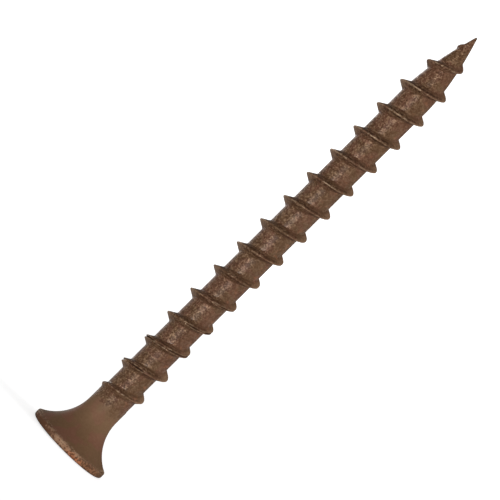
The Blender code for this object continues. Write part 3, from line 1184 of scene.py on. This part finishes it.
def punch_marks(tree, at, face, colour):
    """The colour with the ring and the burr, and how struck and how bare the face is."""
    off_ring = (measure(tree, "DISTANCE", at.place, RING_MIDDLE) - RING_RADIUS).sum("ABSOLUTE")
    outer_half = (at.x + at.y + RING_CUT).step(*RING_CUT_EDGE)
    struck = face * (1 - (off_ring / RING_WIDTH).step(*RING_EDGE)) * outer_half
    to_left = at.x * -1
    wing_end = to_left.step(*WING_END)
    wing_side = at.y.sum("ABSOLUTE").step(*WING_FROM) * to_left.step(*WING_SIDE) * (1 - wing_end)
    pulled = wing_end.sum("MAXIMUM", wing_side * (1 - at.y.step(*FAINTER_WING) * FAINTER_BY))
    on_lip = attribute(tree, "lip").step(*LIP_EDGE) * (1 - at.radius.step(*BURR_END))
    burr = on_lip * pulled * at.crystals.step(*BURR_GAPS)
    bare = burr.sum("MAXIMUM", struck * RING_SHARE * at.clouds.step(*RING_PATCHES))
    return blend(tree, bare * PUNCHED_SHARE, colour, RUBBED_STEEL), struck, bare


# %% [markdown]
# ### Relief
# A Bump node tilts the surface by the same patterns that colour it, which makes the flecks glint one by one.
# The head is almost smooth, the valleys of the thread are rough and the flanks are streaked. The pits and
# the ring of the face are sunk a little.

# %% The relief
RELIEF_STRENGTH = 0.8
RELIEF_DEPTH = 0.03 * MM
HEAD_RELIEF = 0.1
SPECK_RELIEF = 0.6
DUST_SIZE = 0.08
DUST_RELIEF = 0.15
PIT_RELIEF = 0.8
STREAK_RELIEF = 0.8


def relief(tree, at, streaks, pits, struck):
    """The surface's tilt, from patterns that are highest at 1."""
    rough = at.crystals * (HEAD_RELIEF + (1 - HEAD_RELIEF) * at.rolled)
    rough = rough + at.specks * at.rolled * (1 - at.on_ridge) * SPECK_RELIEF
    rough = rough + grain(tree, at.place, DUST_SIZE) * DUST_RELIEF
    height = rough - pits * PIT_RELIEF - struck + at.on_ridge * streaks * STREAK_RELIEF
    return tree.node("ShaderNodeBump", None, {
        "Strength": RELIEF_STRENGTH, "Distance": RELIEF_DEPTH, "Height": height,
    }, "Normal")


# %% [markdown]
# ### Gloss
# A skin of crystals scatters light, so the screw hardly shines. Its gloss comes from the oil, a thin clear
# coat that stays on the shank and in the valleys of the thread and gets thinner near the point, and from the
# flecks and worn places where metal shows.

# %% The finished material
DULL_ROUGHNESS = 0.54
DULL_METALLIC = 0.07
DULL_SPECULAR = 0.02
GLINTS = (0.42, 0.68)
GLINTS_SMOOTHER = 0.16
WORN_SMOOTHER = 0.12
METAL_WHERE_BARE = 0.5
METAL_IN_GLINTS = 0.2
LATER_GLINTS_DULLER = 0.06
OILED_FROM = (4.0, 5.5)
OIL = 0.2
OIL_IN_FLECKS = 0.08
OILY_FLECKS = (0.4, 0.7)
OIL_LOST_LATER = 0.6
OIL_LOST_ON_RIDGE = 0.75
OIL_ROUGHNESS = 0.3


def phosphated_steel():
    material = bpy.data.materials.new("phosphated_steel")
    material.use_nodes = True
    surface = material.node_tree.nodes["Principled BSDF"]
    surface.inputs["Specular IOR Level"].default_value = DULL_SPECULAR
    surface.inputs["Coat Roughness"].default_value = OIL_ROUGHNESS

    tree = Tree(material.node_tree)
    at = read_surface(tree)
    colour = rough_and_smooth(tree, at, skin_colour(tree, at))
    colour, streaks = flank_marks(tree, at, colour)
    colour, worn = crest_marks(tree, at, colour)
    colour, face, pits = face_skin(tree, at, rim_marks(tree, at, colour))
    colour, struck, bare = punch_marks(tree, at, face, colour)
    tree.feed(surface.inputs["Base Color"], colour)
    tree.feed(surface.inputs["Normal"], relief(tree, at, streaks, pits, struck))

    glints = at.rolled * (1 - at.on_ridge) * at.pattern.step(*GLINTS)
    roughness = DULL_ROUGHNESS - GLINTS_SMOOTHER * glints - WORN_SMOOTHER * worn
    tree.feed(surface.inputs["Roughness"], roughness)
    glinting = glints * (METAL_IN_GLINTS - LATER_GLINTS_DULLER * at.later)
    metal = worn.sum("MAXIMUM", bare) * METAL_WHERE_BARE + glinting
    tree.feed(surface.inputs["Metallic"], DULL_METALLIC + metal)
    oil = OIL + OIL_IN_FLECKS * at.rolled * at.pattern.step(*OILY_FLECKS)
    oil = at.z.step(*OILED_FROM) * oil * (1 - OIL_LOST_LATER * at.later)
    tree.feed(surface.inputs["Coat Weight"], oil * (1 - OIL_LOST_ON_RIDGE * at.on_ridge))
    print(f"finish: {len(material.node_tree.nodes)} nodes")
    return material


# %% [markdown]
# ## One plain mesh
# A modifier works only while its tree is there, and the export takes meshes. So the head is given the thread
# as a modifier with the sizes above, the result is taken as a mesh of its own, and the modifier goes.

# %% The head with its thread
def wind_thread(head, finish):
    """Turns the head into the whole screw."""
    modifier = head.modifiers.new("rolled_thread", "NODES")
    modifier.node_group = thread_tree()
    set_inputs(modifier, {**THREAD_SIZES, **THREAD_COUNTS, "Material": finish})
    evaluated = head.evaluated_get(bpy.context.evaluated_depsgraph_get())
    whole = bpy.data.meshes.new_from_object(evaluated)
    head.modifiers.clear()
    head.data = whole


wind_thread(screw, phosphated_steel())
print(f"screw: {len(screw.data.vertices)} points")

# %% [markdown]
# A closed mesh has two faces at every edge. A miscount shows where the band didn't meet the head or itself,
# so it is printed. The faces are then turned to point outwards, and shaded smooth but for true corners.

# %% The check and the shading
CORNER_ANGLE = math.radians(40)

shape = bmesh.new()
shape.from_mesh(screw.data)
bmesh.ops.recalc_face_normals(shape, faces=shape.faces)
open_edges = [edge for edge in shape.edges if len(edge.link_faces) != 2]
triangles = sum(len(face.verts) - 2 for face in shape.faces)
print(f"{len(shape.faces)} faces, {triangles} triangles, {len(open_edges)} open edges")
shape.to_mesh(screw.data)
shape.free()
screw.data.shade_smooth()
screw.data.set_sharp_from_angle(angle=CORNER_ANGLE)

# %% [markdown]
# ## Hand over
# The mesh rides on the frame's one body and stands in for its solid. Both boxes are written down, so that
# their sizes can be compared.

# %% Hand over
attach(screw, "root")
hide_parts(NODE)

shown_low, shown_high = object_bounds()
solid_height, shown_height = (solid_high - solid_low).z / MM, (shown_high - shown_low).z / MM
print(f"height: solid {solid_height:.2f} mm, shown {shown_height:.2f} mm")
